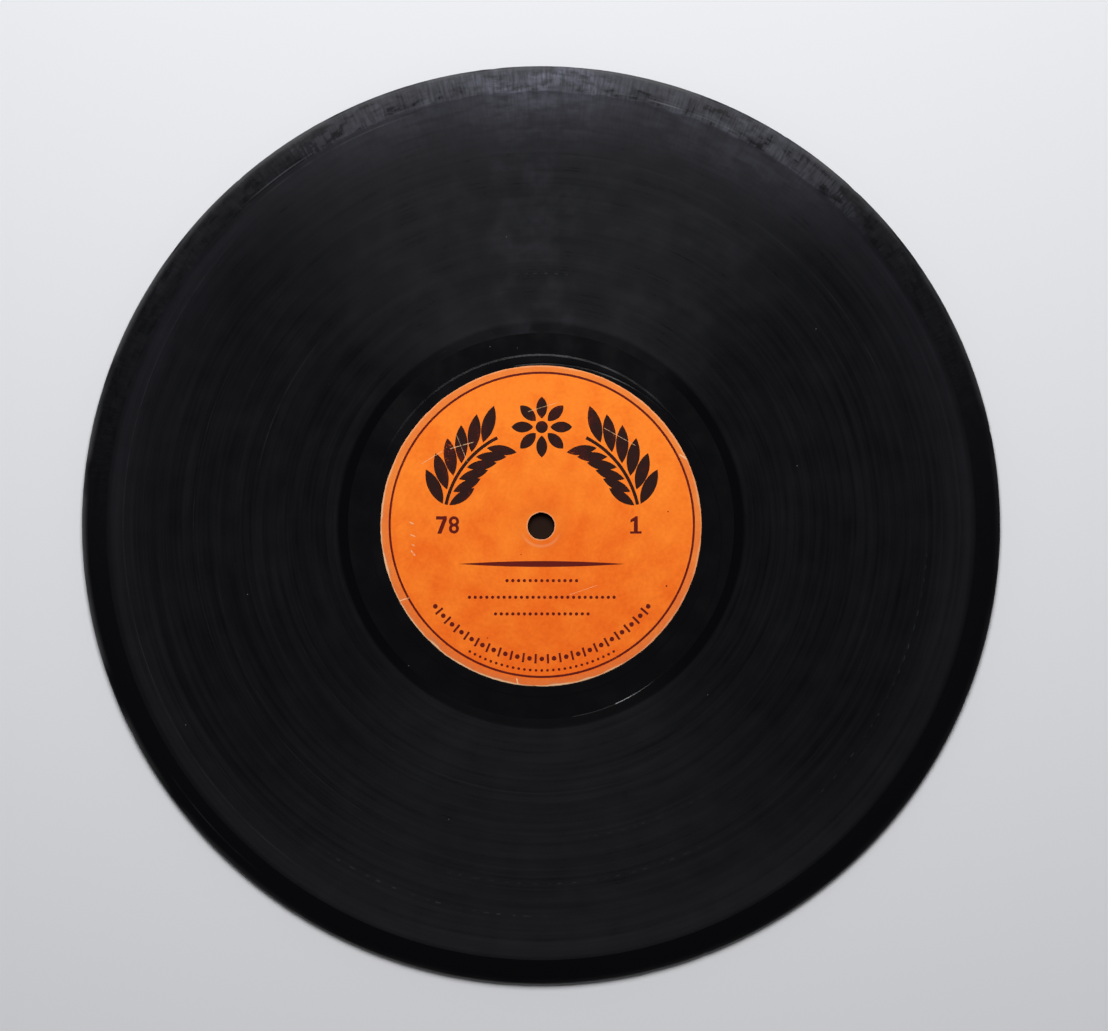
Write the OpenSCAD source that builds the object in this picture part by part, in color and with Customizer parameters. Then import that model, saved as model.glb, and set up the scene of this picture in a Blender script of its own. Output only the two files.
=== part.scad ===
// Ten-inch gramophone record: a pressed shellac disc with a paper label sunk into each side.
// It lies flat with the front label up. +Z is the spindle axis, +Y is the top of the front
// label, and the origin is the middle of the spindle hole on the plane that it rests on.
// The back is the front turned over about the Y axis. All sizes are in millimetres.

/* [Disc] */
// Diameter of the disc
disc_d = 254; // [220:0.5:305]
// Thickness over the raised centre
disc_t = 2.2; // [1.8:0.05:4]
// Diameter of the spindle hole
bore_d = 7.3; // [5:0.05:12]

/* [Raised centre] */
// Width of the raised ring outside the label
centre_ring_w = 2.6; // [1:0.1:5]
// Height of the raised centre over the playing surface
centre_h = 0.06; // [0.02:0.01:0.12]
// Width of the slope down from the raised centre
centre_slope_w = 0.5; // [0.2:0.05:1.5]

/* [Groove] */
// Width of the smooth zone from the label to the recorded band
dead_wax_w = 8.9; // [7:0.1:20]
// Step from one turn of the groove to the next, drawn ten times as wide as the real 0.25
groove_pitch = 2.5; // [2:0.1:6]
// Width of the groove at the surface, drawn twice as wide as the real one
groove_w = 0.4; // [0.1:0.01:0.5]
// Depth of the groove
groove_depth = 0.1; // [0.05:0.01:0.15]
// Direction, seen from above, in which the recorded band ends and the run-out begins
runout_angle = 279.4; // [0:0.1:360]
// Wall left between the label's recess and the inner end of the run-out groove
runout_wall = 0.1; // [0.05:0.05:2]

/* [Rim] */
// Width of the smooth lip outside the recorded band
lip_w = 6.8; // [4:0.1:15]
// Fall of the lip from the playing surface to where the edge rounding begins
lip_drop = 0.2; // [0.05:0.01:0.4]
// Width of the rounded edge
edge_round_w = 0.9; // [0.3:0.05:2]

/* [Label] */
// Diameter of the paper label
label_d = 88.9; // [70:0.1:105]
// Thickness of the paper, as pressed
paper_t = 0.13; // [0.08:0.01:0.3]
// Gap all round between the paper and the wall of its recess
label_edge_gap = 0.05; // [0.02:0.01:0.3]

/* [Printing] */
// Thickness of the ink on the paper
ink_t = 0.02; // [0.01:0.01:0.05]
// Distance that the printing sits to the right of the hole
print_shift_x = 0.2; // [-1:0.05:1]
// Distance that the printing sits above the hole
print_shift_y = 0.3; // [-1:0.05:1]
// Distance from the label's edge to the border line
border_inset = 2.1; // [1.2:0.05:4]
// Width of the border line
border_w = 0.6; // [0.2:0.05:1]
// Distance from the label's edge to the middle of the outer row of beads
outer_beads_inset = 4.2; // [3:0.1:6]
// Diameter of a bead in the outer row
outer_bead_d = 0.75; // [0.3:0.05:1.2]
// Step from one bead to the next in the outer row
outer_bead_step = 1.6; // [1.3:0.1:4]
// Number of beads in the outer row
outer_beads = 27; // [1:1:60]
// Distance from the label's edge to the middle of the inner row of beads
inner_beads_inset = 7.4; // [6:0.1:9]
// Diameter of a bead in the inner row
inner_bead_d = 1.3; // [0.5:0.05:1.8]
// Step from one bead to the next in the inner row, with a bar between them
inner_bead_step = 3.4; // [3:0.1:6]
// Number of beads in the inner row
inner_beads = 21; // [1:1:30]
// Length of the bars between the beads, across the row
bead_bar_l = 2.6; // [0.5:0.1:3]
// Width of the bars between the beads
bead_bar_w = 0.6; // [0.2:0.05:0.9]
// Distance from the label's edge to the stem of the two laurel branches
laurel_inset = 17.4; // [14:0.1:22]
// Length of the outer laurel leaves
outer_leaf_l = 10.6; // [5:0.1:12]
// Width of the outer laurel leaves
outer_leaf_w = 3.5; // [1:0.1:4]
// Length of the inner laurel leaves
inner_leaf_l = 8.4; // [4:0.1:10]
// Width of the inner laurel leaves
inner_leaf_w = 2.7; // [1:0.1:3]
// Width of the laurel stems
stem_w = 0.9; // [0.3:0.1:1.5]
// Outer radius of the rosette between the two branches
rosette_r = 8.4; // [5:0.1:10]
// Height of the numerals
numeral_h = 4.8; // [2:0.1:8]
// Distance from the middle of the label to the middle of a numeral or pair
numeral_x = 26; // [15:0.5:28]
// Length of the swelled rule under the hole
rule_l = 46; // [20:1:60]
// Greatest width of the swelled rule
rule_w = 1.6; // [0.5:0.1:3]
// Distance of the swelled rule below the middle
rule_y = 10.8; // [8:0.1:14]
// Distance from one dotted line to the next
line_step = 4.6; // [2:0.1:6]
// Lengths of the dotted lines, from the top one down
line_lengths = [20, 40, 27]; // [10:1:60]
// Diameter of a dot in the dotted lines
line_dot_d = 0.9; // [0.3:0.05:1.2]
// Step from one dot to the next
line_dot_step = 1.6; // [1.3:0.1:3]

/* [Hidden] */

$fn = 180;
PRINT_FN = 32;

disc_r = disc_d / 2;
bore_r = bore_d / 2;
label_r = label_d / 2;
recess_depth = paper_t + ink_t;
recess_r = label_r + label_edge_gap;
centre_r = label_r + centre_ring_w;
playing_z = disc_t - centre_h;
band_inner_r = label_r + dead_wax_w;
band_outer_r = disc_r - lip_w;
turns = floor((band_outer_r - band_inner_r) / groove_pitch);
// Half the width of a groove that is cut down from the raised centre
deep_groove_half_w = groove_w / 2 * (groove_depth + centre_h) / groove_depth;
runout_end_r = recess_r + runout_wall + deep_groove_half_w;
edge_start_r = disc_r - edge_round_w;
edge_half_t = playing_z - lip_drop - disc_t / 2;

// Number of straight steps that draw the lip's curve, and the rounded edge above the middle
LIP_STEPS = 6;
EDGE_STEPS = 6;
// Number of straight steps in each half of the swelled rule
RULE_STEPS = 8;
// Height that a groove cutter reaches above the playing surface, clear of the raised centre
CUTTER_H = 0.3;

// Colours
SHELLAC = [0.09, 0.09, 0.1];
PAPER = [0.96, 0.48, 0.17];
INK = [0.17, 0.07, 0.05];

// Shows its children on the front and, turned over about the Y axis, on the back
module both_sides() {
    children();
    turned_over() children();
}

module turned_over() {
    translate([0, 0, disc_t]) rotate([0, 180, 0]) children();
}

// Disc

// Half of the disc's cross-section above its middle, from the spindle hole out to the rim
function upper_outline() = concat(
    [
        [bore_r, disc_t - recess_depth],
        [recess_r, disc_t - recess_depth],
        [recess_r, disc_t],
        [centre_r, disc_t],
        [centre_r + centre_slope_w, playing_z],
        [band_outer_r, playing_z]
    ],
    lip_curve(),
    edge_curve()
);

// The lip falls away slowly at first and faster towards the edge
function lip_curve() = [
    for (i = [1 : LIP_STEPS])
        let (share = i / LIP_STEPS)
        [
            band_outer_r + share * (edge_start_r - band_outer_r),
            playing_z - lip_drop * share * share
        ]
];

// A quarter of an ellipse, from the end of the lip to the middle of the edge
function edge_curve() = [
    for (i = [1 : EDGE_STEPS])
        let (a = 90 - 90 * i / EDGE_STEPS)
        [
            edge_start_r + edge_round_w * cos(a),
            disc_t / 2 + edge_half_t * sin(a)
        ]
];

// The same outline below the middle, from the rim back to the hole, without the shared point
function lower_outline() =
    let (upper = upper_outline(), last = len(upper) - 2)
    [for (i = [last : -1 : 0]) [upper[i][0], disc_t - upper[i][1]]];

// V-shaped cutter sections at the given radii, standing on their points
module groove_sections(radii) {
    top_half_w = groove_w / 2 * (groove_depth + CUTTER_H) / groove_depth;
    for (r = radii)
        polygon([
            [r, playing_z - groove_depth],
            [r + top_half_w, playing_z + CUTTER_H],
            [r - top_half_w, playing_z + CUTTER_H]
        ]);
}

// Half turns of groove about one centre, which lies at shift along the run-out direction
module half_turns(radii, shift, start_angle) {
    rotate([0, 0, runout_angle])
        translate([shift, 0, 0])
            rotate([0, 0, start_angle])
                rotate_extrude(angle = 180) groove_sections(radii);
}

// One continuous groove. Half circles about two centres, half a pitch apart, make a spiral
// that runs inwards anticlockwise, and a larger half circle leads from its end to the label.
module spiral_groove() {
    band_radii = [for (k = [1 : turns]) band_inner_r + k * groove_pitch];
    half_turns([for (r = band_radii) r - groove_pitch / 4], groove_pitch / 4, 0);
    half_turns([for (r = band_radii) r - groove_pitch * 3 / 4], -groove_pitch / 4, 180);
    half_turns([(band_inner_r + runout_end_r) / 2], (band_inner_r - runout_end_r) / 2, 0);
}

module shellac_disc() {
    color(SHELLAC)
        difference() {
            rotate_extrude() polygon(concat(upper_outline(), lower_outline()));
            both_sides() spiral_groove();
        }
}

// Paper labels, with a hole as wide as the disc's, because both are pressed over one pin

module paper_label() {
    color(PAPER)
        translate([0, 0, disc_t - recess_depth])
            linear_extrude(paper_t)
                difference() {
                    circle(r = label_r);
                    circle(r = bore_r);
                }
}

module front_label() paper_label();

module back_label() turned_over() paper_label();

// Shapes in the printing

// A leaf of two arcs that meet in points, lying along X
module leaf(length, width) {
    arc_r = (length * length + width * width) / (4 * width);
    intersection() {
        translate([0, arc_r - width / 2]) circle(r = arc_r);
        translate([0, width / 2 - arc_r]) circle(r = arc_r);
    }
}

// A printer's rule along X that swells in its middle, as two shallow parabolas
module swelled_rule(length, width) {
    shares = [for (i = [-RULE_STEPS : RULE_STEPS]) i / RULE_STEPS];
    inner = [for (i = [RULE_STEPS - 1 : -1 : 1 - RULE_STEPS]) i / RULE_STEPS];
    polygon(concat(
        [for (t = shares) [t * length / 2, -(1 - t * t) * width / 2]],
        [for (t = inner) [t * length / 2, (1 - t * t) * width / 2]]
    ));
}

module ring(outer_r, width) {
    difference() {
        circle(r = outer_r);
        circle(r = outer_r - width);
    }
}

// Petals round an eye, with a ring of paper left bare between them
module rosette(outer_r, petals) {
    eye_r = outer_r * 0.2;
    petal_start = outer_r * 0.28;
    petal_l = outer_r - petal_start;
    petal_w = petal_l * 0.5;
    circle(r = eye_r);
    for (i = [0 : petals - 1])
        rotate(90 + i * 360 / petals)
            translate([petal_start + petal_l / 2, 0])
                leaf(petal_l, petal_w);
}

// Places its children on a circle about the middle of the label
module around(radius, angle) {
    rotate(angle) translate([radius, 0]) children();
}

function point_at(radius, angle) = [radius * cos(angle), radius * sin(angle)];

// A branch that rises to the right of the hole, with leaves in pairs along its stem. The angles
// are those of an arc about the middle of the label.
module laurel_branch() {
    stem_r = label_r - laurel_inset;
    foot_angle = 12;
    tip_angle = 63;
    leaf_pairs = 6;
    outer_spread = 38;
    inner_spread = 44;
    leaf_turn = (tip_angle - foot_angle) / leaf_pairs;
    intersection() {
        ring(stem_r + stem_w / 2, stem_w, $fn = 180);
        polygon([[0, 0], point_at(2 * stem_r, foot_angle), point_at(2 * stem_r, tip_angle)]);
    }
    for (i = [0 : leaf_pairs - 1]) {
        around(stem_r + stem_w, foot_angle + i * leaf_turn)
            rotate(90 - outer_spread)
                translate([outer_leaf_l / 2, 0])
                    leaf(outer_leaf_l, outer_leaf_w);
        around(stem_r - stem_w, foot_angle + i * leaf_turn)
            rotate(90 + inner_spread)
                translate([inner_leaf_l / 2, 0])
                    leaf(inner_leaf_l, inner_leaf_w);
    }
}

// Two laurel branches with a rosette where they would meet
module laurel_arch() {
    laurel_branch();
    mirror([1, 0]) laurel_branch();
    around(label_r - laurel_inset, 90) rosette(rosette_r, 8);
}

module numeral_seven(h) {
    bar = h * 0.19;
    foot_w = h * 0.24;
    w = h * 0.62;
    translate([-w / 2, -h / 2])
        polygon([
            [0, h],
            [w, h],
            [w, h - bar],
            [w * 0.5, 0],
            [w * 0.5 - foot_w, 0],
            [w - foot_w, h - bar],
            [0, h - bar]
        ]);
}

module numeral_eight(h) {
    stroke = h * 0.17;
    lower_r = h * 0.29;
    upper_r = (h - 2 * lower_r + stroke) / 2;
    translate([0, lower_r - h / 2]) ring(lower_r, stroke);
    translate([0, h / 2 - upper_r]) ring(upper_r, stroke);
}

module numeral_one(h) {
    upright_w = h * 0.22;
    foot_h = h * 0.13;
    flag = h * 0.2;
    translate([0, -h / 2]) {
        polygon([
            [-upright_w / 2, 0],
            [upright_w / 2, 0],
            [upright_w / 2, h],
            [0, h],
            [-upright_w / 2 - flag, h - flag],
            [-upright_w / 2 - flag, h - flag * 1.8],
            [-upright_w / 2, h - flag * 1.4]
        ]);
        translate([-upright_w * 1.5, 0]) square([upright_w * 3, foot_h]);
    }
}

module numeral_two(h) {
    stroke = h * 0.17;
    bowl_r = h * 0.29;
    translate([0, h / 2 - bowl_r])
        intersection() {
            ring(bowl_r, stroke);
            polygon([
                [0, 0],
                [-h, h * 0.15],
                [-h, h],
                [h, h],
                [h, -h * 0.75]
            ]);
        }
    translate([0, -h / 2]) {
        translate([-bowl_r, 0]) square([bowl_r * 2, stroke]);
        polygon([
            [-bowl_r, 0],
            [-bowl_r + stroke * 1.5, 0],
            [bowl_r * 0.97, h - bowl_r * 1.25],
            [bowl_r * 0.45, h - bowl_r * 1.45]
        ]);
    }
}

module dotted_line(length) {
    dots = floor(length / line_dot_step);
    for (i = [0 : dots])
        translate([(i - dots / 2) * line_dot_step, 0]) circle(d = line_dot_d);
}

// A row of copies along the lower edge of the label, centred under the hole
module bead_row(radius, step, count) {
    turn = step / radius * 180 / PI;
    for (i = [0 : count - 1])
        around(radius, 270 + (i - (count - 1) / 2) * turn) children();
}

// Both labels have the same printing, apart from the number of the side
module printing(side_number) {
    $fn = PRINT_FN;
    inner_beads_r = label_r - inner_beads_inset;

    ring(label_r - border_inset, border_w, $fn = 180);
    laurel_arch();
    translate([-numeral_x - numeral_h * 0.36, 0]) numeral_seven(numeral_h);
    translate([-numeral_x + numeral_h * 0.36, 0]) numeral_eight(numeral_h);
    translate([numeral_x, 0])
        if (side_number == 1) numeral_one(numeral_h);
        else numeral_two(numeral_h);

    translate([0, -rule_y]) swelled_rule(rule_l, rule_w);
    for (i = [0 : len(line_lengths) - 1])
        translate([0, -rule_y - line_step * (i + 1)]) dotted_line(line_lengths[i]);

    bead_row(label_r - outer_beads_inset, outer_bead_step, outer_beads)
        circle(d = outer_bead_d);
    bead_row(inner_beads_r, inner_bead_step, inner_beads) circle(d = inner_bead_d);
    bead_row(inner_beads_r, inner_bead_step, inner_beads - 1)
        square([bead_bar_l, bead_bar_w], center = true);
}

module ink_layer(side_number) {
    color(INK)
        translate([print_shift_x, print_shift_y, disc_t - ink_t])
            linear_extrude(ink_t) printing(side_number);
}

module front_print() ink_layer(1);

module back_print() turned_over() ink_layer(2);

shellac_disc();
front_label();
back_label();
front_print();
back_print();
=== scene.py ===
# A ten-inch shellac gramophone record with a paper label on each side, seen from above.
import math

import bmesh
import bpy
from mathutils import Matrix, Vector, noise


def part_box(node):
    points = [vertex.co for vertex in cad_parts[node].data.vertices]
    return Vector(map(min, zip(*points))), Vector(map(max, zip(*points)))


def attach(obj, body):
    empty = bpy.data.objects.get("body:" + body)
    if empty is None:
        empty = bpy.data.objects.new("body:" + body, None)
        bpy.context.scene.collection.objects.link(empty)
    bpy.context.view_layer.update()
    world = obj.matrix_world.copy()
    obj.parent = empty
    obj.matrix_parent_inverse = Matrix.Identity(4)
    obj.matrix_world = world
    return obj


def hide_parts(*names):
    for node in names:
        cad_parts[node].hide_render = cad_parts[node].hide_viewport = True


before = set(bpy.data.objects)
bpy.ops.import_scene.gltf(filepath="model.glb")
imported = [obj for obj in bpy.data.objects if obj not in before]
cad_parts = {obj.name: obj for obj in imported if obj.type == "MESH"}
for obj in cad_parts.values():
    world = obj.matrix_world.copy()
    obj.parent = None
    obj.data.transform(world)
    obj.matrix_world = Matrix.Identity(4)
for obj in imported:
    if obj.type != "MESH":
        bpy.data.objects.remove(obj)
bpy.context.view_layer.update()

MM = 0.001

# Sizes that the frame gives, in mm

DISC_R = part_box("shellac_disc")[1].x / MM
DISC_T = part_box("shellac_disc")[1].z / MM
LABEL_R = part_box("front_label")[1].x / MM
PAPER_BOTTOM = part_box("front_label")[0].z / MM
PAPER_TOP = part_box("front_label")[1].z / MM

# Sizes of the record's own parts, in mm

BORE_R = 3.65
RECESS_R = LABEL_R + 0.05
CENTRE_R = LABEL_R + 2.6
CENTRE_SLOPE_W = 0.5
CENTRE_H = 0.06
PLAYING_Z = DISC_T - CENTRE_H
BAND_INNER_R = LABEL_R + 8.9
UNWORN_BAND_W = 2.8
BAND_OUTER_R = DISC_R - 6.8
EDGE_START_R = DISC_R - 0.9
LIP_DROP = 0.2
SOFT_CORNER = 0.03
GROOVE_W = 0.4
GROOVE_DEPTH = 0.1
RUNOUT_ANGLE = 279.4
RUNOUT_END_R = 44.92

# Steps round the disc and the labels, and along the disc's cross-section and the run-out groove

DISC_SEGMENTS = 720
LABEL_SEGMENTS = 720
BAND_STEPS = 10
LIP_STEPS = 14
EDGE_STEPS = 18
RUNOUT_STEPS = 300

# The back wears its own pattern: its directions are turned, in degrees, and its noise is stepped

BACK_TURN = 137
BACK_NOISE_STEP = 61

# A film that hands left on the lip, laid thickest towards the light at the top, where it stands in
# for the lip's highlight as painted highlight, in layers: the direction where each layer is
# thickest, the angles to either side of it between which the layer thins out to nothing, in
# degrees, and how much of the black it covers

FILM_AND_HIGHLIGHT_LAYERS = [
    (90, 4, 14, 0.27),
    (84, 26, 44, 0.145),
    (96, 45, 100, 0.025),
]

# Directions of the stretches of the label's edge and of the rim that are rubbed most, in degrees

LABEL_WEAR_ANGLE = 232
RIM_WEAR_ANGLE = 120

# How far above and below the hole the painted shade on the label starts and is full, and the
# radius of the ring that a player's spindle washer left below the hole, in mm

LABEL_SHADE_START_Y = 34
LABEL_SHADE_FULL_Y = -40
PIN_MARK_R = 5.6

# How far in from the rim the disc's shape is worn, and how deep it is rubbed between nicks, in mm

RIM_WEAR_W = 2.0
RIM_RUB_DEPTH = 0.03

# Nicks in the rim: direction in degrees, width and depth in mm

RIM_NICKS = [
    (12, 3.0, 0.10),
    (47, 4.0, 0.14),
    (58, 2.2, 0.08),
    (96, 3.5, 0.10),
    (131, 2.6, 0.12),
    (163, 4.2, 0.08),
    (207, 3.0, 0.12),
    (238, 5.0, 0.10),
    (291, 3.4, 0.14),
    (338, 2.4, 0.10),
]

# A needle's mark: its width in mm, and in degrees the stretch in which it fades out at each end
# and the spacing of the dots that a jumping needle leaves

MARK_W = 0.48
MARK_FADE = 8
DOT_SPACING = 2.3

# Places where a needle was set down or ran hard: radius in mm, first and last direction in
# degrees, brightness from 0 to 1, and whether the mark is a row of dots

NEEDLE_MARKS = [
    (69.8, 79, 98, 0.07, True),
    (74.0, 200, 290, 0.015, False),
    (79.6, 138, 170, 0.03, False),
    (87.0, 266, 304, 0.035, True),
    (90.9, 180, 250, 0.015, False),
    (93.1, 203, 252, 0.02, False),
    (96.1, 150, 206, 0.02, False),
    (99.1, 250, 300, 0.05, True),
    (102.4, 20, 120, 0.02, False),
    (106.9, 312, 359, 0.06, True),
    (108.1, 232, 272, 0.08, True),
    (111.1, 203, 244, 0.015, False),
    (115.5, 136, 238, 0.025, False),
    (118.9, 105, 132, 0.08, False),
]

# Scratches that run along the lip, given the same way

LIP_SCRATCHES = [
    (120.7, 100, 136, 0.12, False),
    (121.3, 60, 82, 0.25, False),
    (122.1, 62, 76, 0.14, False),
    (123.4, 210, 232, 0.03, False),
]

# The broad leaves of the printing lie above this height over the hole and inside this radius

BROAD_PRINT_Y = 4
BROAD_PRINT_R = 40

# Scuffs on the front label that show bare paper: both ends in mm from the hole, and the width

LABEL_SCUFFS = [
    ((-36.2, 1.0), (-35.3, 0.6), 0.35),
    ((-36.0, -2.4), (-34.9, -2.9), 0.3),
    ((-35.6, -5.2), (-35.0, -5.5), 0.4),
    ((-35.8, -6.9), (-34.9, -8.1), 0.45),
    ((-39.2, -20.7), (-36.6, -19.9), 0.4),
    ((38.4, 19.7), (40.2, 18.5), 0.5),
    ((-6.7, -42.2), (-6.4, -43.9), 0.5),
    ((-33.0, 17.2), (-27.4, 20.6), 0.18),
    ((-25.0, 21.4), (-18.6, 23.2), 0.2),
    ((-23.3, 25.0), (-20.4, 17.8), 0.15),
    ((-3.6, 31.6), (4.2, 34.0), 0.15),
    ((17.5, 27.0), (26.0, 22.3), 0.14),
    ((8.0, -19.0), (15.5, -16.4), 0.12),
]

# Dark specks on the front label: place in mm from the hole, and diameter

LABEL_SPECKS = [
    ((35.1, 4.0), 0.5),
    ((34.7, -16.6), 0.6),
    ((21.0, 14.4), 0.5),
    ((-5.5, -7.9), 0.4),
    ((-14.8, -31.0), 0.4),
]

# The board that the record lies on, in mm: half its width, the gap that keeps it off the record,
# the stretch in which it runs into the wall, and the shadow that shows through the hole

BOARD_HALF_W = 8000
BOARD_GAP = 0.02
BOARD_FADE_START_R = 225
BOARD_FADE_END_R = 480
SHADOW_CORE_R = 12
SHADOW_END_R = 22

# How strongly the materials bend light

SHELLAC_IOR = 1.54
PAPER_IOR = 1.45

# Colours, in sRGB

SHELLAC_BLACK = "#08080a"
NEEDLE_GREY = "#2e2e32"
NEEDLE_SCAR = "#8b8c90"
# The film's bluish grey, which also paints the highlight on the lip and the outer band
FILM_AND_HIGHLIGHT_GREY = "#666773"
EDGE_GREY = "#4b4b4c"
DUST = "#5a5a58"
PAPER_ORANGE = "#fc8526"
# A deeper orange: painted shade on the label's lower half, and the paper seen through the ink's
# pinholes
PAPER_DEEP_AND_SHADED = "#ec6415"
PAPER_PALE_FIBRE = "#ff8526"
PAPER_DARK_FIBRE = "#dc5a10"
PAPER_SOILED = "#b9561f"
PAPER_CORE = "#eab98c"
PAPER_WORN_EDGE = "#b27850"
INK_BROWN = "#260c07"
INK_MAROON = "#5e0f07"
FLOOR_PALE = "#dadadc"
HOLE_SHADOW = "#2a1d18"
WALL_PALE = "#ebebed"
DAYLIGHT = "#fcfdff"


def linear(hex_code):
    """Turns an sRGB hex colour into a linear colour with full alpha."""
    shares = [int(hex_code[i : i + 2], 16) / 255 for i in (1, 3, 5)]
    lights = [s / 12.92 if s <= 0.04045 else ((s + 0.055) / 1.055) ** 2.4 for s in shares]
    return (*lights, 1)


# Nodes


def add(tree, kind, inputs=None, **settings):
    """Adds a node with its settings and inputs. An input goes by its name, or by its place among
    those shown: a MapRange has its value, the two ends it comes from and the two it goes to as
    0 to 4. A node or socket is linked, a value is set."""
    node = tree.nodes.new("ShaderNode" + kind)
    for name, value in settings.items():
        setattr(node, name, value)
    shown = [s for s in node.inputs if s.enabled]
    for key, value in (inputs or {}).items():
        socket = shown[key] if isinstance(key, int) else next(s for s in shown if s.name == key)
        if isinstance(value, bpy.types.Node):
            value = next(s for s in value.outputs if s.enabled)
        if isinstance(value, bpy.types.NodeSocket):
            tree.links.new(value, socket)
        else:
            socket.default_value = value
    return node


def new_material(name):
    """Makes a material whose node tree is empty."""
    material = bpy.data.materials.new(name)
    material.use_nodes = True
    material.node_tree.nodes.clear()
    return material, material.node_tree


class Place:
    """Where a point of the surface lies on the record, in mm and degrees. The back has its own
    directions and its own noise, so its wear isn't a copy of the front's."""

    def __init__(self, tree):
        coordinates = add(tree, "TexCoord").outputs["Object"]
        self.point = add(
            tree, "VectorMath", {0: coordinates, 1: (1 / MM,) * 3}, operation="MULTIPLY"
        )
        self.flat = add(tree, "VectorMath", {0: self.point, 1: (1, 1, 0)}, operation="MULTIPLY")
        parts = add(tree, "SeparateXYZ", {0: self.point})
        self.radius = add(tree, "VectorMath", {0: self.flat}, operation="LENGTH")
        self.around = add(tree, "VectorMath", {0: self.flat}, operation="NORMALIZE")
        self.is_back = add(
            tree, "Math", {0: parts.outputs["Z"], 1: DISC_T / 2}, operation="LESS_THAN"
        )
        angle = add(
            tree, "Math", {0: parts.outputs["Y"], 1: parts.outputs["X"]}, operation="ARCTAN2"
        )
        degrees = add(tree, "Math", {0: angle}, operation="DEGREES")
        turned = add(
            tree, "Math", {0: self.is_back, 1: BACK_TURN, 2: degrees}, operation="MULTIPLY_ADD"
        )
        self.angle = add(tree, "Math", {0: turned, 1: 360, 2: 0}, operation="WRAP")


def off_by(tree, value, target):
    """How far a value is from a target, on either side of it."""
    difference = add(tree, "Math", {0: value, 1: target}, operation="SUBTRACT")
    return add(tree, "Math", {0: difference}, operation="ABSOLUTE")


def streaks(tree, place, length, width, seed, detail=2):
    """Noise in rings about the spindle. One streak is about `length` by `width` mm."""
    outward = add(tree, "Math", {0: place.radius, 1: width}, operation="DIVIDE")
    side = add(
        tree, "Math", {0: place.is_back, 1: BACK_NOISE_STEP, 2: seed}, operation="MULTIPLY_ADD"
    )
    lift = add(tree, "Math", {0: outward, 1: side}, operation="ADD")
    climb = add(tree, "CombineXYZ", {"Z": lift})
    middle_r = (BAND_INNER_R + BAND_OUTER_R) / 2
    ring = add(
        tree, "VectorMath", {"Vector": place.around, "Scale": middle_r / length}, operation="SCALE"
    )
    spot = add(tree, "VectorMath", {0: ring, 1: climb}, operation="ADD")
    return add(tree, "TexNoise", {"Vector": spot, "Scale": 1, "Detail": detail})


def needle_marks(tree, place, marks):
    """Thin arcs about the spindle. Some are rows of dots, where the needle jumped. Gives how
    bright each point is."""
    skips = streaks(tree, place, 7, 3, 9)
    faint = add(tree, "MapRange", {0: skips, 1: 0.38, 2: 0.62, 3: 0.15, 4: 1})
    jump = add(tree, "Math", {0: skips, 1: 5, 2: place.angle}, operation="MULTIPLY_ADD")
    off_dot = add(tree, "Math", {0: jump, 1: DOT_SPACING / 2}, operation="PINGPONG")
    spots = add(tree, "MapRange", {0: off_dot, 1: 0.45, 2: 0.2})
    dots = add(tree, "Math", {0: spots, 1: faint}, operation="MULTIPLY")
    total = None
    for radius, first, last, brightness, dotted in marks:
        off_arc = off_by(tree, place.radius, radius)
        line = add(tree, "MapRange", {0: off_arc, 1: MARK_W / 2, 2: MARK_W / 8, 4: brightness})
        start = add(tree, "MapRange", {0: place.angle, 1: first, 2: first + MARK_FADE})
        end = add(tree, "MapRange", {0: place.angle, 1: last, 2: last - MARK_FADE})
        sector = add(tree, "Math", {0: start, 1: end}, operation="MULTIPLY")
        mark = add(tree, "Math", {0: line, 1: sector}, operation="MULTIPLY")
        breaks = dots if dotted else faint
        mark = add(tree, "Math", {0: mark, 1: breaks}, operation="MULTIPLY")
        if total:
            mark = add(tree, "Math", {0: total, 1: mark}, operation="MAXIMUM")
        total = mark
    return total


def specks(tree, place, spacing, size, seed):
    """Scattered round specks, `size` mm across, one in each cell of `spacing` mm at most."""
    shift = (seed, seed, seed)
    spot = add(tree, "VectorMath", {0: place.point, 1: shift}, operation="ADD")
    cell = add(tree, "TexVoronoi", {"Vector": spot, "Scale": 1 / spacing, "Randomness": 1})
    limit = size / 2 / spacing
    near = add(
        tree,
        "MapRange",
        {0: cell.outputs["Distance"], 1: limit, 2: limit * 0.6},
        interpolation_type="SMOOTHSTEP",
    )
    pick = add(tree, "SeparateColor", {0: cell.outputs["Color"]})
    chosen = add(tree, "Math", {0: pick, 1: 0.6}, operation="GREATER_THAN")
    return add(tree, "Math", {0: near, 1: chosen}, operation="MULTIPLY")


def scuffs(tree, place, lines):
    """Short scratches on the front, each between two points. Gives how bare each point is."""
    total = None
    for start, end, width in lines:
        first = Vector((*start, PAPER_TOP))
        run = Vector((*end, PAPER_TOP)) - first
        way = run.normalized()
        away = add(tree, "VectorMath", {0: place.point, 1: first}, operation="SUBTRACT")
        reach = add(tree, "VectorMath", {0: away, 1: way}, operation="DOT_PRODUCT")
        along = add(tree, "Clamp", {"Value": reach, "Min": 0, "Max": run.length})
        foot = add(tree, "VectorMath", {"Vector": way, "Scale": along}, operation="SCALE")
        gap = add(tree, "VectorMath", {0: away, 1: foot}, operation="DISTANCE")
        mark = add(tree, "MapRange", {0: gap, 1: width / 2, 2: width / 5})
        if total:
            mark = add(tree, "Math", {0: total, 1: mark}, operation="MAXIMUM")
        total = mark
    grain = add(tree, "TexNoise", {"Vector": place.point, "Scale": 1 / 0.6, "Detail": 2})
    broken = add(tree, "MapRange", {0: grain, 1: 0.35, 2: 0.5, 3: 0.2, 4: 1})
    return add(tree, "Math", {0: total, 1: broken}, operation="MULTIPLY")


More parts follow.
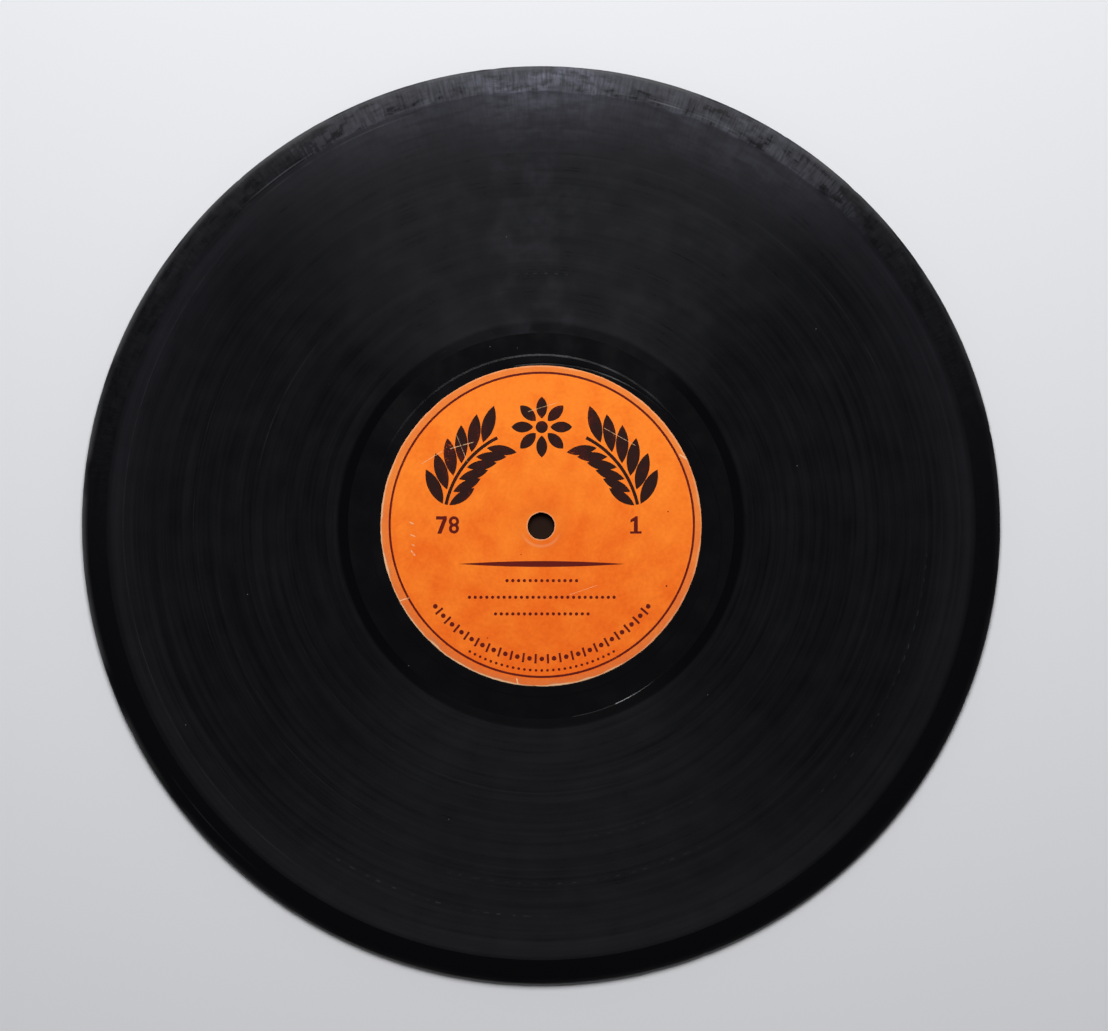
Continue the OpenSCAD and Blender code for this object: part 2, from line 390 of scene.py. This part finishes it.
def dark_specks(tree, place, spots):
    """Round specks at given places on the front. Gives how dark each point is."""
    total = None
    for spot, size in spots:
        gap = add(tree, "VectorMath", {0: place.point, 1: (*spot, PAPER_TOP)}, operation="DISTANCE")
        mark = add(tree, "MapRange", {0: gap, 1: size / 2, 2: size / 4})
        if total:
            mark = add(tree, "Math", {0: total, 1: mark}, operation="MAXIMUM")
        total = mark
    return total


def film_and_painted_highlight(tree, place, stroke_depth, rub_depth):
    """How much film hands have left, with painted highlight: most towards the light at the top, and
    none on the far side. It lies in uneven patches, rubbed off here and there and crossed by short
    strokes."""
    patches = streaks(tree, place, 6, 3, 33)
    rubs = streaks(tree, place, 3.2, 1.8, 35, detail=4)
    strokes = streaks(tree, place, 0.5, 4, 31, detail=3)
    wander = add(tree, "Math", {0: patches, 1: 30, 2: -15}, operation="MULTIPLY_ADD")
    laid = None
    for direction, full, gone, share in FILM_AND_HIGHLIGHT_LAYERS:
        off_middle = off_by(tree, place.angle, direction)
        away = add(tree, "Math", {0: off_middle, 1: wander}, operation="ADD")
        layer = add(
            tree,
            "MapRange",
            {0: away, 1: full, 2: gone, 3: share, 4: 0},
            interpolation_type="SMOOTHSTEP",
        )
        laid = add(tree, "Math", {0: laid, 1: layer}, operation="ADD") if laid else layer
    patched = add(tree, "MapRange", {0: patches, 1: 0.38, 2: 0.62, 3: 0.6, 4: 1.3})
    rubbed = add(tree, "MapRange", {0: rubs, 1: 0.47, 2: 0.68, 3: 1.15, 4: 1.15 - rub_depth})
    stroked = add(
        tree,
        "MapRange",
        {0: strokes, 1: 0.35, 2: 0.65, 3: 1 - stroke_depth, 4: 1 + stroke_depth},
    )
    for unevenness in (patched, rubbed, stroked):
        laid = add(tree, "Math", {0: laid, 1: unevenness}, operation="MULTIPLY")
    return laid


def shellac_shader(tree, colour, roughness, normal, gloss=0.5, anisotropy=0.0):
    """Ends a shellac material. Anisotropy spreads its highlight outwards from the spindle."""
    inputs = {
        "Base Color": colour,
        "Roughness": roughness,
        "IOR": SHELLAC_IOR,
        "Specular IOR Level": gloss,
        "Normal": normal,
        "Anisotropic": anisotropy,
    }
    if anisotropy:
        inputs["Anisotropic Rotation"] = 0.25
        inputs["Tangent"] = add(tree, "Tangent", direction_type="RADIAL", axis="Z")
    shader = add(tree, "BsdfPrincipled", inputs)
    add(tree, "OutputMaterial", {"Surface": shader})


def matt_shader(tree, colour, roughness, normal):
    """Ends the material of the paper or of the ink on it."""
    inputs = {
        "Base Color": colour,
        "Roughness": roughness,
        "IOR": PAPER_IOR,
        "Specular IOR Level": 0.15,
        "Normal": normal,
    }
    shader = add(tree, "BsdfPrincipled", inputs)
    add(tree, "OutputMaterial", {"Surface": shader})


# Materials


def polished_shellac():
    """Shellac compound straight off the polished stamper: deep black and glossy, with hairlines."""
    material, tree = new_material("shellac_polished")
    place = Place(tree)
    hairlines = streaks(tree, place, 90, 0.5, 3)
    cloud = add(tree, "TexNoise", {"Vector": place.point, "Scale": 1 / 9, "Detail": 3})
    dust = specks(tree, place, 4.5, 0.3, 5)
    colour = add(
        tree,
        "Mix",
        {"Factor": dust, "A": linear(SHELLAC_BLACK), "B": linear(DUST)},
        data_type="RGBA",
    )
    rough = add(tree, "MapRange", {0: cloud, 1: 0.35, 2: 0.65, 3: 0.12, 4: 0.2})
    relief = add(tree, "Bump", {"Strength": 0.6, "Distance": 0.004 * MM, "Height": hairlines})
    shellac_shader(tree, colour, rough, relief, gloss=0.4)
    return material


def needle_wear(tree, place, grooves, smudges):
    """How grey needles have worn the band: in rings, arcs and smudges, and more near the lip."""
    arcs = streaks(tree, place, 24, 1.7, 21, detail=3)
    wear = add(tree, "MapRange", {0: grooves, 1: 0.3, 2: 0.7, 3: 0.02, 4: 0.12})
    arced = add(tree, "MapRange", {0: arcs, 1: 0.3, 2: 0.7, 3: 0, 4: 0.08})
    smudged = add(tree, "MapRange", {0: smudges, 1: 0.3, 2: 0.7, 3: 0, 4: 0.06})
    near_lip = add(
        tree,
        "MapRange",
        {0: place.radius, 1: BAND_OUTER_R - 14, 2: BAND_OUTER_R, 3: 0, 4: 0.14},
    )
    for share in (arced, smudged, near_lip):
        wear = add(tree, "Math", {0: wear, 1: share}, operation="ADD")
    return wear


def band_film_and_sheen(tree, place, smudges):
    """How much of the film from the lip lies on the band: ever less inwards, in clouds, and most
    past a ragged border close to the lip. Like the lip's, it is thickest towards the light at the
    top, where it is partly painted sheen."""
    smears = streaks(tree, place, 2.5, 9, 25, detail=3)
    outwards = add(tree, "MapRange", {0: place.radius, 1: BAND_OUTER_R - 30, 2: BAND_OUTER_R})
    reach = add(tree, "Math", {0: outwards, 1: 2.5}, operation="POWER")
    clouds = add(tree, "MapRange", {0: smudges, 1: 0.45, 2: 0.7, 3: 0, 4: 0.2})
    clouded = add(tree, "Math", {0: reach, 1: clouds}, operation="MAXIMUM")
    creep = add(tree, "Math", {0: smears, 1: 2.4, 2: place.radius}, operation="MULTIPLY_ADD")
    over_border = add(tree, "MapRange", {0: creep, 1: BAND_OUTER_R + 0.9, 2: BAND_OUTER_R + 1.4})
    spread = add(tree, "Math", {0: clouded, 1: over_border}, operation="ADD")
    film = film_and_painted_highlight(tree, place, 0.15, 0.3)
    film_here = add(tree, "Math", {0: film, 1: spread}, operation="MULTIPLY")
    return add(tree, "Math", {0: film_here, 1: 0.6}, operation="MULTIPLY")


def grooved_shellac():
    """Shellac compound pressed with the groove, and dulled by steel needles, except in its
    innermost turns. The grooves lie a quarter of a millimetre apart, too fine to show, so they
    are drawn as rings of 0.8 mm. They spread each highlight outwards from the spindle and keep it
    narrow along the groove."""
    material, tree = new_material("shellac_grooved")
    place = Place(tree)
    grooves = streaks(tree, place, 130, 0.8, 1, detail=3)
    smudges = add(tree, "TexNoise", {"Vector": place.point, "Scale": 1 / 8, "Detail": 4})
    worn_from = BAND_INNER_R + UNWORN_BAND_W
    past_unworn = add(tree, "MapRange", {0: place.radius, 1: worn_from - 0.4, 2: worn_from + 0.4})
    to_lip = add(
        tree, "MapRange", {0: place.radius, 1: BAND_OUTER_R - 1.8, 2: BAND_OUTER_R, 3: 1, 4: 0.3}
    )
    wear = needle_wear(tree, place, grooves, smudges)
    for share in (past_unworn, to_lip):
        wear = add(tree, "Math", {0: wear, 1: share}, operation="MULTIPLY")
    dulled = add(
        tree,
        "Mix",
        {"Factor": wear, "A": linear(SHELLAC_BLACK), "B": linear(NEEDLE_GREY)},
        data_type="RGBA",
    )
    # Film from the lip, thickest towards the light at the top: partly painted sheen on the band
    film = band_film_and_sheen(tree, place, smudges)
    filmed = add(
        tree, "Mix", {"Factor": film, "A": dulled, "B": linear(FILM_AND_HIGHLIGHT_GREY)}, data_type="RGBA"
    )
    marks = needle_marks(tree, place, NEEDLE_MARKS)
    marked = add(
        tree, "Mix", {"Factor": marks, "A": filmed, "B": linear(NEEDLE_SCAR)}, data_type="RGBA"
    )
    dust = specks(tree, place, 8, 0.35, 17)
    colour = add(tree, "Mix", {"Factor": dust, "A": marked, "B": linear(DUST)}, data_type="RGBA")
    rough_rings = add(tree, "MapRange", {0: grooves, 1: 0.3, 2: 0.7, 3: 0.275, 4: 0.29})
    rough_smudges = add(tree, "MapRange", {0: smudges, 1: 0.3, 2: 0.7, 3: 0.97, 4: 1.05})
    rough_worn = add(tree, "Math", {0: rough_rings, 1: rough_smudges}, operation="MULTIPLY")
    fresh = add(tree, "MapRange", {0: past_unworn, 3: 0.78, 4: 1})
    rough = add(tree, "Math", {0: rough_worn, 1: fresh}, operation="MULTIPLY")
    relief = add(tree, "Bump", {"Strength": 1, "Distance": 0.01 * MM, "Height": grooves})
    shellac_shader(tree, colour, rough, relief, gloss=0.05, anisotropy=1)
    return material


def lip_shellac_highlight_and_wear():
    """The smooth lip, which hands have dulled with a bluish film in short strokes across it, laid
    thickest towards the light at the top as painted highlight, and the edge, where rubbing has
    turned the black surface grey."""
    material, tree = new_material("shellac_lip_highlight_and_wear")
    place = Place(tree)
    # Film on the lip, thickest towards the light at the top: painted highlight as well as film
    film = film_and_painted_highlight(tree, place, 0.42, 0.9)
    filmed = add(
        tree,
        "Mix",
        {"Factor": film, "A": linear(SHELLAC_BLACK), "B": linear(FILM_AND_HIGHLIGHT_GREY)},
        data_type="RGBA",
    )
    scratches = needle_marks(tree, place, LIP_SCRATCHES)
    scratched = add(
        tree,
        "Mix",
        {"Factor": scratches, "A": filmed, "B": linear(NEEDLE_SCAR)},
        data_type="RGBA",
    )
    outermost = add(tree, "MapRange", {0: place.radius, 1: DISC_R - 2, 2: DISC_R})
    at_edge = add(tree, "Math", {0: outermost, 1: 2}, operation="POWER")
    rubs = streaks(tree, place, 14, 5, 37)
    patches = add(tree, "MapRange", {0: rubs, 1: 0.36, 2: 0.54})
    off_wear = off_by(tree, place.angle, RIM_WEAR_ANGLE)
    gripped = add(tree, "MapRange", {0: off_wear, 1: 65, 2: 120, 3: 1, 4: 0.1})
    rubbed = add(tree, "Math", {0: patches, 1: gripped}, operation="MULTIPLY")
    grey_share = add(tree, "Math", {0: at_edge, 1: rubbed}, operation="MULTIPLY")
    greyed = add(
        tree,
        "Mix",
        {"Factor": grey_share, "A": scratched, "B": linear(EDGE_GREY)},
        data_type="RGBA",
    )
    dust = specks(tree, place, 6, 0.35, 27)
    colour = add(tree, "Mix", {"Factor": dust, "A": greyed, "B": linear(DUST)}, data_type="RGBA")
    rough_film = add(tree, "MapRange", {0: film, 2: 0.3, 3: 0.2, 4: 0.5})
    rough = add(tree, "MapRange", {0: at_edge, 3: rough_film, 4: 0.5})
    rings = streaks(tree, place, 150, 0.6, 35)
    relief = add(tree, "Bump", {"Strength": 0.5, "Distance": 0.008 * MM, "Height": rings})
    shellac_shader(tree, colour, rough, relief, gloss=0.14)
    return material


def dyed_fibres(tree, place, fibres):
    """The colour of the label's dyed face: mottled by its fibres, redder in blots, deepened
    towards the bottom by painted shade, and soiled round the hole."""
    lay = add(tree, "MapRange", {0: fibres, 1: 0.3, 2: 0.7})
    fibred = add(
        tree,
        "Mix",
        {"Factor": lay, "A": linear(PAPER_DARK_FIBRE), "B": linear(PAPER_PALE_FIBRE)},
        data_type="RGBA",
    )
    # Painted shade, in blots: the face turns a deeper orange from the top of the label to the
    # bottom
    height = add(tree, "SeparateXYZ", {0: place.flat}).outputs["Y"]
    lowness = add(tree, "MapRange", {0: height, 1: LABEL_SHADE_START_Y, 2: LABEL_SHADE_FULL_Y})
    blots = add(tree, "TexNoise", {"Vector": place.point, "Scale": 1 / 7, "Detail": 4})
    blotched = add(tree, "MapRange", {0: blots, 1: 0.3, 2: 0.7, 3: -0.45, 4: 0.45})
    rubbed = add(tree, "Math", {0: lowness, 1: blotched}, operation="ADD", use_clamp=True)
    dyed = add(
        tree,
        "Mix",
        {"Factor": rubbed, "A": linear(PAPER_ORANGE), "B": linear(PAPER_DEEP_AND_SHADED)},
        data_type="RGBA",
    )
    mottled = add(tree, "Mix", {"Factor": 0.22, "A": dyed, "B": fibred}, data_type="RGBA")
    soil = add(
        tree,
        "MapRange",
        {0: place.radius, 1: BORE_R + 6, 2: BORE_R + 0.5, 3: 0, 4: 0.14},
        interpolation_type="SMOOTHSTEP",
    )
    return add(
        tree, "Mix", {"Factor": soil, "A": mottled, "B": linear(PAPER_SOILED)}, data_type="RGBA"
    )


def label_edge(tree, place):
    """How worn the dye is along the label's edge, and how bare the cut paper is. Both are uneven,
    and most where thumbs have gripped the label."""
    from_edge = add(tree, "Math", {0: LABEL_R, 1: place.radius}, operation="SUBTRACT")
    fray = streaks(tree, place, 11, 2.5, 41, detail=4)
    off_thumb = off_by(tree, place.angle, LABEL_WEAR_ANGLE)
    thumbed = add(
        tree,
        "MapRange",
        {0: off_thumb, 1: 40, 2: 95, 3: 1, 4: 0.4},
        interpolation_type="SMOOTHSTEP",
    )
    worn_w = add(tree, "MapRange", {0: fray, 1: 0.3, 2: 0.75, 3: 0, 4: 2})
    worn_reach = add(tree, "Math", {0: worn_w, 1: thumbed}, operation="MULTIPLY")
    worn_in = add(tree, "Math", {0: worn_reach, 1: from_edge}, operation="SUBTRACT")
    frayed = add(tree, "MapRange", {0: worn_in, 1: -0.3, 2: 0.7, 3: 0, 4: 0.6})
    margin = add(tree, "MapRange", {0: from_edge, 1: 2.6, 2: 1.6, 3: 0, 4: 0.26})
    worn = add(tree, "Math", {0: margin, 1: frayed}, operation="MAXIMUM")
    cut_w = add(tree, "MapRange", {0: fray, 1: 0.4, 2: 0.65, 3: 0.3, 4: 0.65})
    cut_in = add(tree, "Math", {0: cut_w, 1: from_edge}, operation="SUBTRACT")
    cut_share = add(tree, "MapRange", {0: cut_in, 1: -0.12, 2: 0.12, 3: 0, 4: 0.9})
    bare = add(tree, "Math", {0: cut_share, 1: thumbed}, operation="MULTIPLY")
    return worn, bare


def hole_marks(tree, place):
    """How bare the paper is at the edge of the hole, and in the ring that a player's spindle
    washer left below it."""
    hole_edge = add(
        tree, "MapRange", {0: place.radius, 1: BORE_R + 0.5, 2: BORE_R + 0.2, 3: 0, 4: 0.5}
    )
    off_ring = off_by(tree, place.radius, PIN_MARK_R)
    ring = add(tree, "MapRange", {0: off_ring, 1: 0.55, 2: 0.1, 3: 0, 4: 0.2})
    off_low = off_by(tree, place.angle, 270)
    low = add(tree, "MapRange", {0: off_low, 1: 75, 2: 40})
    pin_mark = add(tree, "Math", {0: ring, 1: low}, operation="MULTIPLY")
    return hole_edge, pin_mark


def label_paper():
    """Uncoated paper dyed orange and pressed flat: matt, softly mottled by its fibres, redder in
    its lower half, where shade is painted into it, darker round the hole, and paler along its edge
    and in its scuffs."""
    material, tree = new_material("paper_dyed_orange")
    place = Place(tree)
    fibres = add(tree, "TexNoise", {"Vector": place.point, "Scale": 1 / 0.9, "Detail": 4})
    face = dyed_fibres(tree, place, fibres)
    worn_share, cut_edge = label_edge(tree, place)
    worn = add(
        tree,
        "Mix",
        {"Factor": worn_share, "A": face, "B": linear(PAPER_WORN_EDGE)},
        data_type="RGBA",
    )
    bare = scuffs(tree, place, LABEL_SCUFFS)
    for mark in (cut_edge, *hole_marks(tree, place)):
        bare = add(tree, "Math", {0: bare, 1: mark}, operation="MAXIMUM")
    bared = add(tree, "Mix", {"Factor": bare, "A": worn, "B": linear(PAPER_CORE)}, data_type="RGBA")
    flecks = dark_specks(tree, place, LABEL_SPECKS)
    colour = add(
        tree, "Mix", {"Factor": flecks, "A": bared, "B": linear(INK_BROWN)}, data_type="RGBA"
    )
    relief = add(tree, "Bump", {"Strength": 0.5, "Distance": 0.015 * MM, "Height": fibres})
    matt_shader(tree, colour, 0.8, relief)
    return material


def letterpress_ink():
    """Letterpress ink: dark brown and solid in the broad leaves, and a thinner, redder film in
    the fine lines, with a few thin spots, and scratched through where the label is scuffed."""
    material, tree = new_material("ink_letterpress_brown")
    place = Place(tree)
    grain = add(tree, "TexNoise", {"Vector": place.point, "Scale": 1 / 0.35, "Detail": 3})
    rub = add(tree, "TexNoise", {"Vector": place.point, "Scale": 1 / 6, "Detail": 3})
    height = add(tree, "SeparateXYZ", {0: place.flat}).outputs["Y"]
    above = add(tree, "MapRange", {0: height, 1: BROAD_PRINT_Y - 0.5, 2: BROAD_PRINT_Y + 0.5})
    inside = add(tree, "MapRange", {0: place.radius, 1: BROAD_PRINT_R + 0.5, 2: BROAD_PRINT_R})
    broad = add(tree, "Math", {0: above, 1: inside}, operation="MULTIPLY")
    thin = add(tree, "Math", {0: grain, 1: rub}, operation="MULTIPLY")
    spots = add(tree, "MapRange", {0: thin, 1: 0.26, 2: 0.38, 3: 0, 4: 0.45})
    solid = add(tree, "Math", {0: broad, 1: spots}, operation="SUBTRACT")
    inked = add(
        tree,
        "Mix",
        {"Factor": solid, "A": linear(INK_MAROON), "B": linear(INK_BROWN)},
        data_type="RGBA",
    )
    pinholes = add(tree, "MapRange", {0: thin, 1: 0.41, 2: 0.46, 3: 0, 4: 0.5})
    bitten = add(
        tree, "Mix", {"Factor": pinholes, "A": inked, "B": linear(PAPER_DEEP_AND_SHADED)}, data_type="RGBA"
    )
    marks = scuffs(tree, place, LABEL_SCUFFS)
    colour = add(
        tree, "Mix", {"Factor": marks, "A": bitten, "B": linear(PAPER_CORE)}, data_type="RGBA"
    )
    relief = add(tree, "Bump", {"Strength": 0.4, "Distance": 0.01 * MM, "Height": grain})
    matt_shader(tree, colour, 0.6, relief)
    return material


# Meshes


def mesh_object(name, points, faces):
    """Makes an object of points in mm, with its faces turned outwards."""
    mesh = bpy.data.meshes.new(name)
    mesh.from_pydata([Vector(p) * MM for p in points], [], faces)
    obj = bpy.data.objects.new(name, mesh)
    bpy.context.scene.collection.objects.link(obj)
    work = bmesh.new()
    work.from_mesh(mesh)
    bmesh.ops.recalc_face_normals(work, faces=work.faces)
    work.to_mesh(mesh)
    work.free()
    return obj


def lathe(name, outline, segments, shape):
    """Turns a closed outline of (radius, height) about the spindle. `shape` wears each point."""
    points = []
    for i in range(segments):
        angle = 2 * math.pi * i / segments
        for radius, height in outline:
            r, z = shape(radius, height, angle)
            points.append((r * math.cos(angle), r * math.sin(angle), z))
    count = len(outline)
    faces = []
    for i in range(segments):
        here = i * count
        there = (i + 1) % segments * count
        for k in range(count):
            after = (k + 1) % count
            faces.append((here + k, there + k, there + after, here + after))
    return mesh_object(name, points, faces)


def shade(obj, sharp_angle):
    """Smooth shading, with an edge kept wherever two faces meet at more than `sharp_angle`."""
    work = bmesh.new()
    work.from_mesh(obj.data)
    for face in work.faces:
        face.smooth = True
    for edge in work.edges:
        if len(edge.link_faces) == 2:
            edge.smooth = edge.calc_face_angle(0) < math.radians(sharp_angle)
    work.to_mesh(obj.data)
    work.free()


def upper_outline():
    """The disc's cross-section over its middle plane, from the spindle hole to the rim."""
    points = [
        (BORE_R, PAPER_BOTTOM),
        (RECESS_R, PAPER_BOTTOM),
        (RECESS_R, DISC_T - SOFT_CORNER),
        (RECESS_R + SOFT_CORNER, DISC_T),
        (CENTRE_R, DISC_T),
        (CENTRE_R + CENTRE_SLOPE_W, PLAYING_Z),
        (BAND_INNER_R, PLAYING_Z),
    ]
    for i in range(1, BAND_STEPS + 1):
        share = i / BAND_STEPS
        points.append((BAND_INNER_R + share * (BAND_OUTER_R - BAND_INNER_R), PLAYING_Z))
    for i in range(1, LIP_STEPS + 1):
        share = i / LIP_STEPS
        radius = BAND_OUTER_R + share * (EDGE_START_R - BAND_OUTER_R)
        points.append((radius, PLAYING_Z - LIP_DROP * share**2))
    half_t = PLAYING_Z - LIP_DROP - DISC_T / 2
    for i in range(1, EDGE_STEPS + 1):
        turn = math.pi / 2 * (1 - i / EDGE_STEPS)
        radius = EDGE_START_R + (DISC_R - EDGE_START_R) * math.cos(turn)
        points.append((radius, DISC_T / 2 + half_t * math.sin(turn)))
    return points


def worn_rim(radius, height, angle):
    """Draws the outermost part of the disc inwards where it is nicked or rubbed."""
    share = max(0.0, (radius - DISC_R + RIM_WEAR_W) / RIM_WEAR_W) ** 2
    if not share:
        return radius, height
    spot = Vector((math.cos(angle), math.sin(angle), 0))
    inward = RIM_RUB_DEPTH * (1 + noise.noise(spot * 60) + noise.noise(spot * 17))
    for direction, width, depth in RIM_NICKS:
        off = (math.degrees(angle) - direction + 180) % 360 - 180
        across = abs(math.radians(off)) * DISC_R / (width / 2)
        if across < 1:
            inward += depth * (1 - across**2) ** 2
    return radius - share * max(0.0, inward), height


def groove_cutter(name, turned):
    """A V-shaped half ring that cuts the run-out groove, from the band's end to the label."""
    radius = (BAND_INNER_R + RUNOUT_END_R) / 2
    shift = (BAND_INNER_R - RUNOUT_END_R) / 2
    start = math.radians(RUNOUT_ANGLE)
    centre = Vector((shift * math.cos(start), shift * math.sin(start), 0))
    reach = 0.3
    half_w = GROOVE_W / 2 * (GROOVE_DEPTH + reach) / GROOVE_DEPTH
    section = [(0, -GROOVE_DEPTH), (half_w, reach), (-half_w, reach)]
    points = []
    for i in range(RUNOUT_STEPS + 1):
        angle = start + math.pi * i / RUNOUT_STEPS
        outward = Vector((math.cos(angle), math.sin(angle), 0))
        for across, up in section:
            point = centre + outward * (radius + across)
            point.z = PLAYING_Z + up
            if turned:
                point = Vector((-point.x, point.y, DISC_T - point.z))
            points.append(point)
    faces = [(0, 1, 2)]
    for i in range(RUNOUT_STEPS):
        here = 3 * i
        for k in range(3):
            after = (k + 1) % 3
            faces.append((here + k, here + 3 + k, here + 3 + after, here + after))
    last = 3 * RUNOUT_STEPS
    faces.append((last, last + 2, last + 1))
    return mesh_object(name, points, faces)


def cut(obj, cutter):
    """Cuts the cutter out of the object and removes it."""
    modifier = obj.modifiers.new("cut", "BOOLEAN")
    modifier.operation = "DIFFERENCE"
    modifier.solver = "MANIFOLD"
    modifier.object = cutter
    graph = bpy.context.evaluated_depsgraph_get()
    result = bpy.data.meshes.new_from_object(obj.evaluated_get(graph))
    obj.modifiers.clear()
    obj.data = result
    bpy.data.objects.remove(cutter)


def pressed_disc():
    """The disc: turned, worn at its rim, and cut by the run-out groove on both sides."""
    upper = upper_outline()
    lower = [(radius, DISC_T - height) for radius, height in reversed(upper[:-1])]
    disc = lathe("pressed_disc", upper + lower, DISC_SEGMENTS, worn_rim)
    cut(disc, groove_cutter("front_cutter", False))
    cut(disc, groove_cutter("back_cutter", True))
    shade(disc, 5.5)
    disc.data.materials.clear()
    for material in (polished_shellac(), grooved_shellac(), lip_shellac_highlight_and_wear()):
        disc.data.materials.append(material)
    for face in disc.data.polygons:
        radius = face.center.xy.length / MM
        face.material_index = sum(radius > border for border in (BAND_INNER_R, BAND_OUTER_R))
    return disc


def frayed_paper(seed):
    """Gives how far the paper's outer and inner edges have frayed back at each direction."""

    def shape(radius, height, angle):
        spot = Vector((math.cos(angle), math.sin(angle), seed))
        fray = 0.10 + 0.08 * noise.noise(spot * 9) + 0.07 * noise.noise(spot * 38)
        if radius > LABEL_R - 1:
            return radius - max(0.0, fray), height
        if radius < BORE_R + 0.2:
            wear = 0.12 + 0.1 * noise.noise(spot * 1.7) + 0.05 * noise.noise(spot * 6)
            return radius + max(0.0, wear), height
        return radius, height

    return shape


def paper_label(name, turned, material):
    """One label, frayed along its edges and pressed thinner there. The back's is turned over."""
    outline = [
        (BORE_R, PAPER_BOTTOM),
        (BORE_R, PAPER_TOP - 0.03),
        (BORE_R + 0.05, PAPER_TOP),
        (BORE_R + 0.6, PAPER_TOP),
        (LABEL_R * 0.5, PAPER_TOP),
        (LABEL_R - 1.4, PAPER_TOP),
        (LABEL_R - 0.5, PAPER_TOP - 0.012),
        (LABEL_R - 0.1, PAPER_TOP - 0.03),
        (LABEL_R, PAPER_TOP - 0.06),
        (LABEL_R, PAPER_BOTTOM),
    ]
    label = lathe(name, outline, LABEL_SEGMENTS, frayed_paper(5.0 if turned else 2.0))
    if turned:
        for vertex in label.data.vertices:
            vertex.co.x *= -1
            vertex.co.z = DISC_T * MM - vertex.co.z
    shade(label, 25)
    label.data.materials.append(material)
    return label


# Stage


def pale_floor():
    """A pale painted board. Under the hole lies the shadow that shows through it, and far from
    the record the board runs into the pale wall."""
    material, tree = new_material("board_painted_pale")
    place = Place(tree)
    grain = add(tree, "TexNoise", {"Vector": place.point, "Scale": 1 / 3, "Detail": 3})
    in_shadow = add(tree, "MapRange", {0: place.radius, 1: SHADOW_END_R, 2: SHADOW_CORE_R})
    colour = add(
        tree,
        "Mix",
        {"Factor": in_shadow, "A": linear(FLOOR_PALE), "B": linear(HOLE_SHADOW)},
        data_type="RGBA",
    )
    relief = add(tree, "Bump", {"Strength": 0.2, "Distance": 0.05 * MM, "Height": grain})
    board = add(tree, "BsdfDiffuse", {"Color": colour, "Normal": relief})
    wall = add(tree, "Emission", {"Color": linear(WALL_PALE), "Strength": 1})
    far = add(
        tree,
        "MapRange",
        {0: place.radius, 1: BOARD_FADE_START_R, 2: BOARD_FADE_END_R},
        interpolation_type="SMOOTHSTEP",
    )
    path = add(tree, "LightPath")
    seen = add(
        tree,
        "Math",
        {0: path.outputs["Is Camera Ray"], 1: path.outputs["Is Glossy Ray"]},
        operation="MAXIMUM",
    )
    share = add(tree, "Math", {0: far, 1: seen}, operation="MULTIPLY")
    surface = add(tree, "MixShader", {0: share, 1: board, 2: wall})
    add(tree, "OutputMaterial", {"Surface": surface})
    half = BOARD_HALF_W
    corners = [(-half, -half, 0), (half, -half, 0), (half, half, 0), (-half, half, 0)]
    floor = mesh_object("floor", corners, [(0, 1, 2, 3)])
    floor.location.z = -BOARD_GAP * MM
    floor.data.materials.append(material)


def studio_world():
    """Dim overhead and pale near the horizon, as a room with pale walls is. The camera sees the
    pale wall itself."""
    world = bpy.data.worlds.new("soft_studio")
    bpy.context.scene.world = world
    world.use_nodes = True
    tree = world.node_tree
    tree.nodes.clear()
    direction = add(tree, "TexCoord").outputs["Generated"]
    height = add(tree, "SeparateXYZ", {0: direction}).outputs["Z"]
    glow = add(
        tree,
        "MapRange",
        {0: height, 1: 0, 2: 0.55, 3: 0.75, 4: 0.04},
        interpolation_type="SMOOTHSTEP",
    )
    light = add(tree, "Background", {"Color": linear(DAYLIGHT), "Strength": glow})
    wall = add(tree, "Background", {"Color": linear(WALL_PALE), "Strength": 1})
    path = add(tree, "LightPath")
    surface = add(tree, "MixShader", {0: path.outputs["Is Camera Ray"], 1: light, 2: wall})
    add(tree, "OutputWorld", {"Surface": surface})


def window_light():
    """A broad soft light behind the top of the record. Its sizes are in metres, its power in
    watts."""
    data = bpy.data.lights.new("window", "AREA")
    data.shape = "RECTANGLE"
    data.size = 0.75
    data.size_y = 0.5
    data.energy = 10.6
    data.color = linear(DAYLIGHT)[:3]
    lamp = bpy.data.objects.new("window", data)
    lamp.location = (0, 0.52, 0.74)
    lamp.rotation_euler = (-lamp.location).to_track_quat("-Z", "Y").to_euler()
    bpy.context.scene.collection.objects.link(lamp)


def overhead_camera():
    """Square above the record, tipped by little more than a degree, as the photograph was taken.
    The record lies a little to the left of and below the middle of the picture."""
    aim = Vector((3.58 * MM, 2.9 * MM, DISC_T * MM))
    distance = 1.5
    tip = math.radians(1.2)
    view_width = 306.2 * MM
    data = bpy.data.cameras.new("overhead")
    data.sensor_width = 36
    data.lens = data.sensor_width * distance / view_width
    camera = bpy.data.objects.new("overhead", data)
    camera.location = aim + distance * Vector((0, math.sin(tip), math.cos(tip)))
    camera.rotation_euler = (-tip, 0, 0)
    bpy.context.scene.collection.objects.link(camera)
    bpy.context.scene.camera = camera


overhead_camera()

disc = pressed_disc()
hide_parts("shellac_disc")
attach(disc, "root")

paper = label_paper()
for side, turned in (("front", False), ("back", True)):
    label = paper_label(side + "_paper", turned, paper)
    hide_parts(side + "_label")
    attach(label, "root")

ink = letterpress_ink()
for side in ("front", "back"):
    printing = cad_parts[side + "_print"]
    printing.data.materials.clear()
    printing.data.materials.append(ink)

pale_floor()
studio_world()
window_light()
bpy.context.scene.view_settings.view_transform = "Standard"
